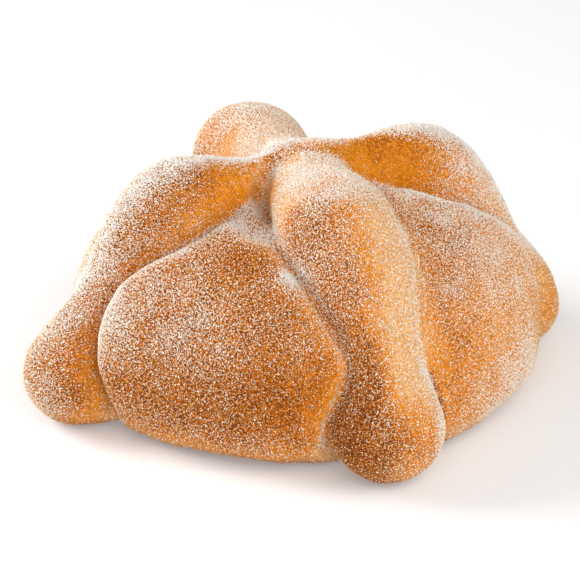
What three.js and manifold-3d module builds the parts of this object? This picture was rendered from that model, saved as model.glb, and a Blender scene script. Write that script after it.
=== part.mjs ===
// Pan de muerto: a round sweet bun with two strips of dough crossed over it. Each strip is rolled into
// knobs like bones laid end to end, drops down the sides of the bun and ends in a rounded foot. The strips
// fuse with the bun in the oven, so the bread is one solid.
// Millimetres, +Z up. The origin lies on the flat underside, below the place where the strips cross. One
// strip runs along X and the other along Y.

import * as THREE from "three";
import { mergeVertices } from "three/addons/utils/BufferGeometryUtils.js";
import Module from "manifold-3d";

// Bun: a flat underside, a rounded lower edge and a full dome
const BUN_RADIUS = 54.6;
const BUN_HEIGHT = 47.5;
const LOWER_EDGE_RADIUS = 13;
const DOME_POWER = 2.45;

// Swellings of the bun between the strips: the dough stands out and up there, most at the middle azimuth.
// It also rolls over the left strip beside its foot, and swells under the right strip.
const PANELS = [
  { name: "left front panel", azimuth: 225, spread: 34, outward: -1, upward: 4.2 },
  { name: "right front panel", azimuth: 312, spread: 34, outward: 0, upward: 3.2 },
  { name: "right back panel", azimuth: 45, spread: 34, outward: 0, upward: 0.4 },
  { name: "left back panel", azimuth: 135, spread: 34, outward: -2, upward: 0.4 },
  { name: "lip beside the left foot", azimuth: 197, spread: 11, outward: 2.3, upward: 0.7 },
  { name: "swelling under the right strip", azimuth: 345, spread: 15, outward: 0, upward: 2 },
];
const PANEL_FULL_RADIUS = 12;

// Strips: the centre of each swelling and narrowing, with its half width and half thickness
const CROSSWISE_STRIP = [
  { name: "left foot", x: -56, y: -1.9, z: 10.9, halfWidth: 13, halfThickness: 11.5 },
  { name: "left waist", x: -49.9, y: 0.8, z: 24.2, halfWidth: 7.2, halfThickness: 6.3 },
  { name: "left knob", x: -31.9, y: 0.3, z: 45.9, halfWidth: 10.9, halfThickness: 11.4 },
  { name: "left neck", x: -12, y: 0.4, z: 49.2, halfWidth: 6.2, halfThickness: 6.6 },
  { name: "right neck", x: 12, y: 0, z: 48, halfWidth: 7, halfThickness: 8.6 },
  { name: "right knob", x: 30.4, y: -0.4, z: 45.6, halfWidth: 11.2, halfThickness: 10.7 },
  { name: "right waist", x: 45, y: -3.4, z: 26.4, halfWidth: 11.6, halfThickness: 7.2 },
  { name: "right foot", x: 51.9, y: -2.4, z: 10.6, halfWidth: 12.4, halfThickness: 10.8 },
];
const LENGTHWISE_STRIP = [
  { name: "front foot", x: -1.2, y: -53, z: 11.5, halfWidth: 13, halfThickness: 11.6 },
  { name: "front waist", x: 0, y: -47.3, z: 27, halfWidth: 8.8, halfThickness: 8 },
  { name: "front knob", x: -1.4, y: -26.5, z: 46.7, halfWidth: 13.2, halfThickness: 12 },
  { name: "crossing", x: 0, y: 0, z: 45.6, halfWidth: 8, halfThickness: 8.8 },
  { name: "back knob", x: -1.2, y: 31.5, z: 42.5, halfWidth: 12.8, halfThickness: 11.9 },
  { name: "back waist", x: 0, y: 50, z: 23, halfWidth: 8, halfThickness: 8 },
  { name: "back foot", x: 0, y: 53, z: 10, halfWidth: 11, halfThickness: 10.4 },
];

// Fineness of the facets
const BUN_SIDES = 72;
const EDGE_ROWS = 5;
const DOME_ROWS = 14;
const STRIP_SIDES = 24;
const TIP_ROWS = 6;
const ROWS_PER_STATION = 6;
const WELD_DISTANCE = 1e-4;

// Baked dough under sugar
const CRUST_COLOUR = 0xd99a55;
const CRUST_ROUGHNESS = 0.8;

const wasm = await Module();
wasm.setup();

// The triangles of a closed geometry with its shared vertices welded, without those that collapse at a pole
function weldedTriangles(geometry) {
  geometry.deleteAttribute("normal");
  geometry.deleteAttribute("uv");
  const welded = mergeVertices(geometry, WELD_DISTANCE);
  const index = welded.index.array;
  const triangles = [];
  for (let i = 0; i < index.length; i += 3) {
    const [a, b, c] = index.slice(i, i + 3);
    if (a !== b && b !== c && c !== a) triangles.push(a, b, c);
  }
  const places = welded.attributes.position.array;
  return { vertProperties: new Float32Array(places), triVerts: new Uint32Array(triangles) };
}

function solidOf(geometry) {
  return new wasm.Manifold(new wasm.Mesh({ numProp: 3, ...weldedTriangles(geometry) }));
}

function geometryOf(solid) {
  const mesh = solid.getMesh();
  const geometry = new THREE.BufferGeometry();
  geometry.setAttribute("position", new THREE.BufferAttribute(mesh.vertProperties, 3));
  geometry.setIndex(new THREE.BufferAttribute(mesh.triVerts, 1));
  geometry.computeVertexNormals();
  return geometry;
}

// Half outline of the bun, from the middle of the underside round the lower edge and over the dome
function bunProfile() {
  const points = [new THREE.Vector2(0, 0)];
  const edgeCentre = BUN_RADIUS - LOWER_EDGE_RADIUS;
  for (let row = 0; row < EDGE_ROWS; row += 1) {
    const turn = (row / EDGE_ROWS) * (Math.PI / 2);
    const rise = LOWER_EDGE_RADIUS * (1 - Math.cos(turn));
    points.push(new THREE.Vector2(edgeCentre + LOWER_EDGE_RADIUS * Math.sin(turn), rise));
  }
  for (let row = 0; row < DOME_ROWS; row += 1) {
    const turn = (row / DOME_ROWS) * (Math.PI / 2);
    const radius = BUN_RADIUS * Math.cos(turn) ** (2 / DOME_POWER);
    const rise = (BUN_HEIGHT - LOWER_EDGE_RADIUS) * Math.sin(turn) ** (2 / DOME_POWER);
    points.push(new THREE.Vector2(radius, LOWER_EDGE_RADIUS + rise));
  }
  points.push(new THREE.Vector2(0, BUN_HEIGHT));
  return points;
}

// How far the panels swell out and up at an azimuth, growing from nothing at the bun's axis
function panelSwell(azimuth, radius) {
  const growth = Math.min(radius / PANEL_FULL_RADIUS, 1) ** 2;
  let outward = 0;
  let upward = 0;
  for (const panel of PANELS) {
    const offset = azimuth - THREE.MathUtils.degToRad(panel.azimuth);
    const turn = Math.atan2(Math.sin(offset), Math.cos(offset));
    const spread = THREE.MathUtils.degToRad(panel.spread);
    const share = growth * Math.exp(-((turn / spread) ** 2));
    outward += share * panel.outward;
    upward += share * panel.upward;
  }
  return { outward, upward };
}

function bunGeometry() {
  const geometry = new THREE.LatheGeometry(bunProfile(), BUN_SIDES);
  geometry.rotateX(Math.PI / 2);
  const position = geometry.attributes.position;
  const domeHeight = BUN_HEIGHT - LOWER_EDGE_RADIUS;
  for (let i = 0; i < position.count; i += 1) {
    const radius = Math.hypot(position.getX(i), position.getY(i));
    const azimuth = Math.atan2(position.getY(i), position.getX(i));
    const { outward, upward } = panelSwell(azimuth, radius);
    const swollen = radius * (1 + outward / BUN_RADIUS);
    const rise = Math.max(position.getZ(i) - LOWER_EDGE_RADIUS, 0) / domeHeight;
    const height = position.getZ(i) + rise * upward;
    position.setXYZ(i, swollen * Math.cos(azimuth), swollen * Math.sin(azimuth), height);
  }
  return geometry;
}

// Half sizes at a share of a strip's length, easing from each swelling or narrowing to the next
function sectionAt(stations, share) {
  const place = share * (stations.length - 1);
  const before = Math.min(Math.floor(place), stations.length - 2);
  const ease = THREE.MathUtils.smoothstep(place - before, 0, 1);
  const [start, end] = stations.slice(before, before + 2);
  return {
    halfWidth: THREE.MathUtils.lerp(start.halfWidth, end.halfWidth, ease),
    halfThickness: THREE.MathUtils.lerp(start.halfThickness, end.halfThickness, ease),
  };
}

// A capsule of unit radius bent along a strip's centre line, its sections widened to the strip's half sizes
function stripGeometry(stations, across) {
  const places = stations.map((station) => new THREE.Vector3(station.x, station.y, station.z));
  const centreLine = new THREE.CatmullRomCurve3(places, false, "catmullrom");
  const rows = ROWS_PER_STATION * (stations.length - 1);
  const geometry = new THREE.CapsuleGeometry(1, 2, TIP_ROWS, STRIP_SIDES, rows);
  const position = geometry.attributes.position;
  for (let i = 0; i < position.count; i += 1) {
    const along = THREE.MathUtils.clamp(position.getY(i), -1, 1);
    const pastTip = position.getY(i) - along;
    const share = (along + 1) / 2;
    const { halfWidth, halfThickness } = sectionAt(stations, share);
    const tangent = centreLine.getTangent(share);
    tangent.addScaledVector(across, -tangent.dot(across)).normalize();
    const outward = new THREE.Vector3().crossVectors(across, tangent);
    const place = centreLine.getPoint(share);
    place.addScaledVector(across, position.getX(i) * halfWidth);
    place.addScaledVector(tangent, pastTip * halfThickness);
    place.addScaledVector(outward, position.getZ(i) * halfThickness);
    position.setXYZ(i, place.x, place.y, place.z);
  }
  return geometry;
}

// A slab below the underside, which flattens the feet where they rest
function restingSlabGeometry() {
  const width = 4 * BUN_RADIUS;
  const depth = BUN_RADIUS;
  const geometry = new THREE.BoxGeometry(width, width, depth);
  geometry.translate(0, 0, -depth / 2);
  return geometry;
}

function breadGeometry() {
  const bun = solidOf(bunGeometry());
  const crosswise = solidOf(stripGeometry(CROSSWISE_STRIP, new THREE.Vector3(0, 1, 0)));
  const lengthwise = solidOf(stripGeometry(LENGTHWISE_STRIP, new THREE.Vector3(1, 0, 0)));
  const restingSlab = solidOf(restingSlabGeometry());
  return geometryOf(bun.add(crosswise).add(lengthwise).subtract(restingSlab));
}

const crust = new THREE.MeshStandardMaterial({
  color: CRUST_COLOUR,
  roughness: CRUST_ROUGHNESS,
  metalness: 0,
});
const bread = new THREE.Mesh(breadGeometry(), crust);
bread.name = "bread";

const panDeMuerto = new THREE.Group();
panDeMuerto.add(bread);

export default panDeMuerto;
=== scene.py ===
"""Pan de muerto: a baked bun under crossed strips of dough, with its crust and the sugar on it."""

import logging
import math
from collections.abc import Callable, Iterator
from dataclasses import dataclass, field
from enum import Enum

import bpy
import numpy as np
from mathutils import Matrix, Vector


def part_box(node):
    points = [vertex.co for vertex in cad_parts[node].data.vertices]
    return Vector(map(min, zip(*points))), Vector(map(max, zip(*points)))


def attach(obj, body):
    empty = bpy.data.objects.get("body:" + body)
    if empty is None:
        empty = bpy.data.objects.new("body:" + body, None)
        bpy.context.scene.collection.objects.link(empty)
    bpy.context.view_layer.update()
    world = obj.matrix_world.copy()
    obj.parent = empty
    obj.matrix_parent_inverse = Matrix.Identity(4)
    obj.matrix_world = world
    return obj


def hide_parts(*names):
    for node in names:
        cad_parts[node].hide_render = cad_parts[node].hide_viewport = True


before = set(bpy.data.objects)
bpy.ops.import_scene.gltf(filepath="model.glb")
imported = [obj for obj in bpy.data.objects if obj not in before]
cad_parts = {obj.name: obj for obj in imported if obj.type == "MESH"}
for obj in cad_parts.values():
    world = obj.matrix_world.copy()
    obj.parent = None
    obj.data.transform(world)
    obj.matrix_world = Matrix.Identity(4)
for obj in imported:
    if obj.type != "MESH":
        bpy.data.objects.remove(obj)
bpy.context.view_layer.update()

Array = np.ndarray
Range = tuple[float, float]
Colour = tuple[float, float, float, float]
log = logging.getLogger("pan_de_muerto")

MM = 0.001
BODY = "root"
NODE = "bread"
FRAME_PIXELS = 580
TINY = 1e-9
FILLET_DEPTH = 0.25
WHITE = (1.0, 1.0, 1.0, 1.0)
WARM_WHITE = (1.0, 0.98, 0.95)


def smooth_minimum(first: Array, second: Array, width: Array | float) -> Array:
    """Joins two distances with a fillet.

    Args:
        first: Distances to one surface, in millimetres.
        second: Distances to the other surface.
        width: How near in distance the surfaces are where the fillet starts.

    Returns:
        Distances to the joined surface.
    """
    share = np.clip(0.5 + 0.5 * (second - first) / width, 0.0, 1.0)
    return second + (first - second) * share - width * share * (1.0 - share)


def smooth_step(values: Array, low: float, high: float) -> Array:
    """Eases from 0 at low to 1 at high.

    Args:
        values: What is eased.
        low: The value that gives 0.
        high: The value that gives 1.

    Returns:
        Shares from 0 to 1.
    """
    share = np.clip((values - low) / (high - low), 0.0, 1.0)
    return share * share * (3.0 - 2.0 * share)


def unit(vectors: Array) -> Array:
    """Scales rows of x, y, z to a length of 1."""
    return vectors / (np.linalg.norm(vectors, axis=1)[:, None] + TINY)


class Direction(Enum):
    """The way a strip runs over the bun, as its row axes: along it and across it."""

    CROSSWISE = (0, 1)
    LENGTHWISE = (1, 0)


@dataclass(frozen=True)
class Station:
    """The middle of a swelling or a narrowing of a strip, in millimetres."""

    x: float
    y: float
    z: float
    half_width: float
    half_thickness: float


@dataclass(frozen=True)
class Strip:
    """A rolled strip of dough, from the tip of one foot over the bun to the tip of the other."""

    direction: Direction
    stations: tuple[Station, ...]
    drape: float = 2.0
    steps: int = 6
    thinnest_slice: float = 1e-3

    def stretches(self) -> Iterator[tuple[Array, Array, Array]]:
        """Goes along the strip from station to station.

        Yields:
            The four coefficients of the middle's cubic as rows of along, across and height, and the half
            width and half thickness at the stretch's start and end.
        """
        along, across = self.direction.value
        places = np.array([(s.x, s.y, s.z) for s in self.stations])[:, [along, across, 2]]
        sizes = np.array([(s.half_width, s.half_thickness) for s in self.stations])
        ends = np.vstack([2 * places[0] - places[1], places, 2 * places[-1] - places[-2]])
        for i in range(len(places) - 1):
            before, start, end, after = ends[i : i + 4]
            bend = before - 2.5 * start + 2 * end - 0.5 * after
            twist = 1.5 * (start - end) + 0.5 * (after - before)
            yield np.array([start, 0.5 * (end - before), bend, twist]), sizes[i], sizes[i + 1]

    def distance(self, points: Array) -> Array:
        """Measures points against the strip's surface.

        Args:
            points: Rows of x, y, z in millimetres.

        Returns:
            About the distance to the surface, below 0 inside the strip.
        """
        along_axis, across_axis = self.direction.value
        along, across, height = points[:, along_axis], points[:, across_axis], points[:, 2]

        def past(cubic: Array, share: float) -> Array:
            """How far the points lie past a section of the strip.

            Args:
                cubic: The coefficients of a stretch's middle.
                share: Where the section lies, from 0 at the stretch's start to 1 at its end.

            Returns:
                Distances along the strip, in millimetres.
            """
            place = cubic[0] + share * (cubic[1] + share * (cubic[2] + share * cubic[3]))
            way = cubic[1] + share * (2.0 * cubic[2] + 3.0 * share * cubic[3])
            way = way / math.hypot(way[0], way[2])
            return ((along - place[0]) * way[0] + (height - place[2]) * way[2]).astype(np.float32)

        stretches = list(self.stretches())
        swept = np.full(len(points), np.inf, np.float32)
        nearest = swept.copy()
        ahead = past(stretches[0][0], 0.0)
        for number, (cubic, start, end) in enumerate(stretches):
            for step in range(self.steps):
                behind = past(cubic, (step + 1) / self.steps)
                first = number == 0 and step == 0
                last = number == len(stretches) - 1 and step == self.steps - 1
                between = ((ahead >= 0.0) | first) & ((behind <= 0.0) | last)
                slice_width = np.maximum(ahead - behind, self.thinnest_slice)
                share = (step + np.clip(ahead / slice_width, 0.0, 1.0)) / self.steps
                place = [cubic[0, i] + share * (cubic[1, i] + share * (cubic[2, i] + share * cubic[3, i]))
                         for i in range(3)]
                ease = share * share * (3.0 - 2.0 * share)
                width, thickness = (start[i] + (end[i] - start[i]) * ease for i in range(2))
                way = [cubic[1, i] + share * (2.0 * cubic[2, i] + 3.0 * share * cubic[3, i]) for i in (0, 2)]
                out, rise = along - place[0], height - place[2]
                under = rise * way[0] < out * way[1]
                draped = ease if number == 0 else 1.0 - ease if number == len(stretches) - 1 else 1.0
                deep = thickness * np.where(under, 1.0 + (self.drape - 1.0) * draped, 1.0)
                ratio = np.hypot((across - place[1]) / width, np.hypot(out, rise) / deep)
                away = ((ratio - 1.0) * np.minimum(width, thickness)).astype(np.float32)
                nearest = np.minimum(nearest, away)
                swept = np.where(between, np.minimum(swept, away), swept)
                ahead = behind
        return np.where(np.isfinite(swept), swept, nearest)


@dataclass(frozen=True)
class Panel:
    """A part of the bun between two strips, where the dough swells out and up, or sinks."""

    azimuth_deg: float
    spread_deg: float
    outward: float
    upward: float


@dataclass(frozen=True)
class Bun:
    """The round bun under the strips, in millimetres."""

    radius: float = 54.6
    height: float = 47.5
    lower_edge: float = 13.0
    dome_power: float = 2.45
    panels: tuple[Panel, ...] = (
        Panel(225.0, 34.0, -1.0, 4.2),  # left front panel
        Panel(312.0, 34.0, 0.0, 3.2),  # right front panel
        Panel(45.0, 34.0, 0.0, 0.4),  # right back panel
        Panel(135.0, 34.0, -2.0, 0.4),  # left back panel
        Panel(197.0, 11.0, 2.3, 0.7),  # lip beside the left foot
        Panel(345.0, 15.0, 0.0, 2.0),  # swelling under the right arm
    )
    panel_full_radius: float = 12.0
    least_slope: float = 1.0 / 70.0
    least_ratio: float = 1e-6

    def distance(self, points: Array) -> Array:
        """Measures points against the bun's surface.

        Args:
            points: Rows of x, y, z in millimetres.

        Returns:
            About the distance to the surface, below 0 inside the bun.
        """
        radius = np.hypot(points[:, 0], points[:, 1])
        azimuth = np.arctan2(points[:, 1], points[:, 0])
        growth = np.clip(radius / self.panel_full_radius, 0.0, 1.0) ** 2
        reach = np.full(len(points), self.radius, np.float32)
        rise = np.full(len(points), self.height - self.lower_edge, np.float32)
        for panel in self.panels:
            offset = azimuth - math.radians(panel.azimuth_deg)
            turn = np.arctan2(np.sin(offset), np.cos(offset)) / math.radians(panel.spread_deg)
            share = growth * np.exp(-(turn**2))
            reach += share * panel.outward
            rise += share * panel.upward
        height = points[:, 2] - self.lower_edge
        power = self.dome_power
        out, up = radius / reach, np.maximum(height, 0.0) / rise
        ratio = (out**power + up**power) ** (1.0 / power) + self.least_ratio
        slope = np.hypot((out / ratio) ** (power - 1.0) / reach, (up / ratio) ** (power - 1.0) / rise)
        dome = (ratio - 1.0) / np.maximum(slope, self.least_slope)
        edge = np.hypot(np.maximum(radius - reach + self.lower_edge, 0.0), height) - self.lower_edge
        return np.where(height > 0.0, dome, edge).astype(np.float32)


@dataclass(frozen=True)
class Ripple:
    """Unevenness: waves of about one length that run every way, in millimetres."""

    wavelength: float
    depth: float
    waves: int
    seed: int
    length_spread: Range = (0.7, 1.4)

    def height(self, points: Array) -> Array:
        """How far the waves stand out at each point.

        Args:
            points: Rows of x, y, z in millimetres.

        Returns:
            Heights, mostly within the ripple's depth.
        """
        draw = np.random.default_rng(self.seed)
        ways = draw.normal(size=(self.waves, 3))
        ways /= np.linalg.norm(ways, axis=1)[:, None]
        lengths = self.wavelength * draw.uniform(*self.length_spread, self.waves)
        ways *= 2.0 * math.pi / lengths[:, None]
        starts = draw.uniform(0.0, 2.0 * math.pi, self.waves)
        total = np.zeros(len(points), np.float32)
        for way, start in zip(ways.astype(np.float32), starts, strict=True):
            total += np.cos(points @ way + np.float32(start))
        return self.depth * total * math.sqrt(2.0 / self.waves)


@dataclass(frozen=True)
class Ball:
    """A round part of the bread, in millimetres."""

    x: float
    y: float
    z: float
    radius: float

    def away(self, points: Array) -> Array:
        """How far points lie from the ball's middle."""
        return np.linalg.norm(points - np.array([self.x, self.y, self.z], np.float32), axis=1)


@dataclass(frozen=True)
class Hollow(Ball):
    """A pit where two strips cross over the corner of a panel, in millimetres."""

    rim: float = 3.0

    def carved(self, skin: Array, points: Array) -> Array:
        """Takes the pit out of a surface.

        Args:
            skin: Distances to the surface.
            points: Rows of x, y, z in millimetres.

        Returns:
            Distances to the surface with its pit.
        """
        return -smooth_minimum(-skin, self.away(points) - self.radius, self.rim)


@dataclass(frozen=True)
class Slit(Ball):
    """A crease that deepens towards the wall of a strip, within a ball, in millimetres."""

    width: float
    depth: float
    core: float = 0.4

    def carved(self, skin: Array, strip: Array, points: Array) -> Array:
        """Takes the crease out of a surface.

        Args:
            skin: Distances to the surface.
            strip: Distances to the strip that the crease lies beside.
            points: Rows of x, y, z in millimetres.

        Returns:
            Distances to the surface with its crease.
        """
        beside = 1.0 - smooth_step(strip, 0.0, self.width)
        within = 1.0 - smooth_step(self.away(points), self.core * self.radius, self.radius)
        return skin + self.depth * beside * within


@dataclass(frozen=True)
class BreadForm:
    """The whole bread as a distance in millimetres: bun and strips with their fillets and uneven dough."""

    bun: Bun = Bun()
    crosswise: Strip = Strip(
        Direction.CROSSWISE,
        (
            Station(-56.0, -1.9, 10.9, 13.0, 11.5),  # left foot
            Station(-49.9, 0.8, 24.2, 7.2, 6.3),  # left waist
            Station(-31.9, 0.3, 45.9, 10.9, 11.4),  # left knob
            Station(-12.0, 0.4, 49.2, 6.2, 6.6),  # left neck
            Station(12.0, 0.0, 48.0, 7.0, 8.6),  # right neck
            Station(30.4, -0.4, 45.6, 11.2, 10.7),  # right knob
            Station(45.0, -3.4, 26.4, 11.6, 7.2),  # right waist
            Station(51.9, -2.4, 10.6, 12.4, 10.8),  # right foot
        ),
    )
    lengthwise: Strip = Strip(
        Direction.LENGTHWISE,
        (
            Station(-1.2, -53.0, 11.5, 13.0, 11.6),  # front foot
            Station(0.0, -47.3, 27.0, 8.8, 8.0),  # front waist
            Station(-1.4, -26.5, 46.7, 13.2, 12.0),  # front knob
            Station(-1.8, 0.0, 46.4, 9.0, 8.8),  # crossing
            Station(-1.2, 31.5, 42.5, 12.8, 11.9),  # back knob
            Station(0.0, 50.0, 23.0, 8.0, 8.0),  # back waist
            Station(0.0, 53.0, 10.0, 11.0, 10.4),  # back foot
        ),
    )
    hollow: Hollow = Hollow(-17.0, -16.5, 54.5, 9.0)
    slit: Slit = Slit(-9.5, -7.5, 51.0, 10.0, 5.0, 7.0)
    strip_fillet: float = 2.5
    saddle_fillet: float = 9.0
    saddle_height: Range = (49.0, 54.5)
    saddle_lean: float = 0.5
    crease_fillet: float = 0.9
    merged_fillet: float = 5.0
    merged_height: Range = (20.0, 36.0)
    merged_left: Range = (-1.0, 4.0)
    merged_right: Range = (18.0, 28.0)
    merged_front: Range = (4.0, 14.0)
    merged_shoulder: float = 1.0
    foot_fillet: float = 3.0
    foot_height: Range = (1.0, 11.0)
    left_foot_fillet: float = 8.5
    left_foot_out: Range = (30.0, 44.0)
    inner_shoulder: float = 7.0
    outer_shoulder: float = 5.0
    inner_radius: float = 14.0
    outer_radius: float = 46.0
    crease_depth: float = 2.8
    crease_start: Range = (11.0, 24.0)
    seam_width: float = 1.8
    seam_offset: float = 1.0
    valley_width: float = 16.0
    deepest_valley: float = 1.5
    rim_nearness: Range = (0.20, 0.70)
    rim_height: Range = (14.0, 26.0)
    strip_edge: float = 1.5
    sugar_room: float = 0.3
    ripples: tuple[Ripple, ...] = (
        Ripple(wavelength=22.0, depth=0.22, waves=14, seed=3),
        Ripple(wavelength=7.0, depth=0.07, waves=18, seed=5),
    )

    def parts(self, points: Array) -> tuple[Array, Array, Array]:
        """Measures points against the bun, whose panels roll down beside the strips, and the two strips.

        Args:
            points: Rows of x, y, z in millimetres.

        Returns:
            Distances to the bun, the crosswise strip and the lengthwise strip.
        """
        bun = self.bun.distance(points)
        crosswise, lengthwise = self.crosswise.distance(points), self.lengthwise.distance(points)
        out = np.hypot(points[:, 0], points[:, 1])
        share = np.clip((out - self.inner_radius) / (self.outer_radius - self.inner_radius), 0.0, 1.0)
        shoulder = self.inner_shoulder + (self.outer_shoulder - self.inner_shoulder) * share
        shoulder += (self.merged_shoulder - shoulder) * self.merged(points)
        rolled = -smooth_minimum(-bun, np.minimum(crosswise, lengthwise), shoulder)
        panels = np.minimum(rolled, bun + self.crease_depth * smooth_step(out, *self.crease_start))
        panels = self.slit.carved(self.hollow.carved(panels, points), lengthwise, points)
        return panels, self.slit.carved(crosswise, lengthwise, points), lengthwise

    def distance(self, points: Array) -> Array:
        """Measures points against the bread's surface.

        Args:
            points: Rows of x, y, z in millimetres.

        Returns:
            About the distance to the surface, below 0 inside the bread.
        """
        bun, crosswise, lengthwise = self.parts(points)
        saddle = smooth_step(points[:, 2] + self.saddle_lean * points[:, 0], *self.saddle_height)
        blend = self.strip_fillet + (self.saddle_fillet - self.strip_fillet) * saddle
        strips = smooth_minimum(crosswise, lengthwise, blend)
        skin = smooth_minimum(strips, bun, self.fillet(points)) + self.sugar_room
        for ripple in self.ripples:
            skin -= ripple.height(points)
        return np.maximum(skin, -points[:, 2])

    def merged(self, points: Array) -> Array:
        """How far the front strip has run into the panel to its right.

        Args:
            points: Rows of x, y, z in millimetres.

        Returns:
            Shares from 0 to 1.
        """
        x = points[:, 0]
        right = smooth_step(x, *self.merged_left) * (1.0 - smooth_step(x, *self.merged_right))
        return right * smooth_step(-points[:, 1], *self.merged_front)

    def fillet(self, points: Array) -> Array:
        """How softly bun and strips meet: more at the left foot and to the right of the front strip.

        Args:
            points: Rows of x, y, z in millimetres.

        Returns:
            Fillets in millimetres.
        """
        left = smooth_step(-points[:, 0], *self.left_foot_out)
        foot = self.foot_fillet + (self.left_foot_fillet - self.foot_fillet) * left
        foot *= 1.0 - smooth_step(points[:, 2], *self.foot_height)
        above = self.merged(points) * smooth_step(points[:, 2], *self.merged_height)
        soft = self.crease_fillet + (self.merged_fillet - self.crease_fillet) * above
        return np.maximum(soft, foot)

    def between(self, first: Array, second: Array) -> Array:
        """How far points lie in the valley between two surfaces, about 1 where they meet."""
        return -smooth_minimum(first, second, self.valley_width) / (FILLET_DEPTH * self.valley_width)

    def lie(self, points: Array, normals: Array) -> "Lie":
        """Reads how points of the surface lie on the bread.

        Args:
            points: Rows of x, y, z on the surface, in millimetres.
            normals: The way out of the surface at each point.

        Returns:
            What each point's browning and sugar depend on.
        """
        bun, crosswise, lengthwise = self.parts(points)
        joined = smooth_minimum(crosswise, lengthwise, self.valley_width)
        rim = smooth_step(self.between(crosswise, bun), *self.rim_nearness)
        seam = np.exp(-(((bun - lengthwise - self.seam_offset) / self.seam_width) ** 2))
        return Lie(
            points=points,
            normals=normals,
            out=np.hypot(points[:, 0], points[:, 1]),
            valley=np.clip(self.between(joined, bun), 0.0, self.deepest_valley),
            rim=rim * smooth_step(points[:, 2], *self.rim_height),
            seam=seam * self.merged(points),
            on_crosswise=smooth_step(np.minimum(bun, lengthwise) - crosswise, 0.0, self.strip_edge),
            on_lengthwise=smooth_step(np.minimum(bun, crosswise) - lengthwise, 0.0, self.strip_edge),
        )


@dataclass(frozen=True)
class Lie:
    """How points of the crust lie on the bread.

    They lie in valleys or exposed, on a strip or on the bun, on a panel's rim under the crosswise strip, or
    on the seam where the front strip has run into a panel.
    """

    points: Array
    normals: Array
    out: Array
    valley: Array
    rim: Array
    seam: Array
    on_crosswise: Array
    on_lengthwise: Array
    strewn_from_above: float = 0.91
    strewn_from_behind: float = 0.42

    @property
    def x(self) -> Array:
        """Places from the left to the right, in millimetres."""
        return self.points[:, 0]

    @property
    def y(self) -> Array:
        """Places from the front to the back, in millimetres."""
        return self.points[:, 1]

    @property
    def height(self) -> Array:
        """Heights above the table, in millimetres."""
        return self.points[:, 2]

    @property
    def up(self) -> Array:
        """How far each point faces up, from -1 to 1."""
        return self.normals[:, 2]

    @property
    def back(self) -> Array:
        """How far each point faces the back, from -1 to 1."""
        return self.normals[:, 1]

    @property
    def left(self) -> Array:
        """How far each point faces the left, from -1 to 1."""
        return -self.normals[:, 0]

    @property
    def strewn(self) -> Array:
        """How far each point faces the sugar, which is strewn from above and behind."""
        return self.strewn_from_above * self.up + self.strewn_from_behind * self.back

    @property
    def on_strip(self) -> Array:
        """1 on the strips and 0 on the bun."""
        return np.clip(self.on_crosswise + self.on_lengthwise, 0.0, 1.0)

    def toward(self, azimuth_deg: float) -> Array:
        """How far each point faces a side of the bread, from -1 to 1."""
        azimuth = math.radians(azimuth_deg)
        return self.normals[:, 0] * math.cos(azimuth) + self.normals[:, 1] * math.sin(azimuth)


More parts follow.
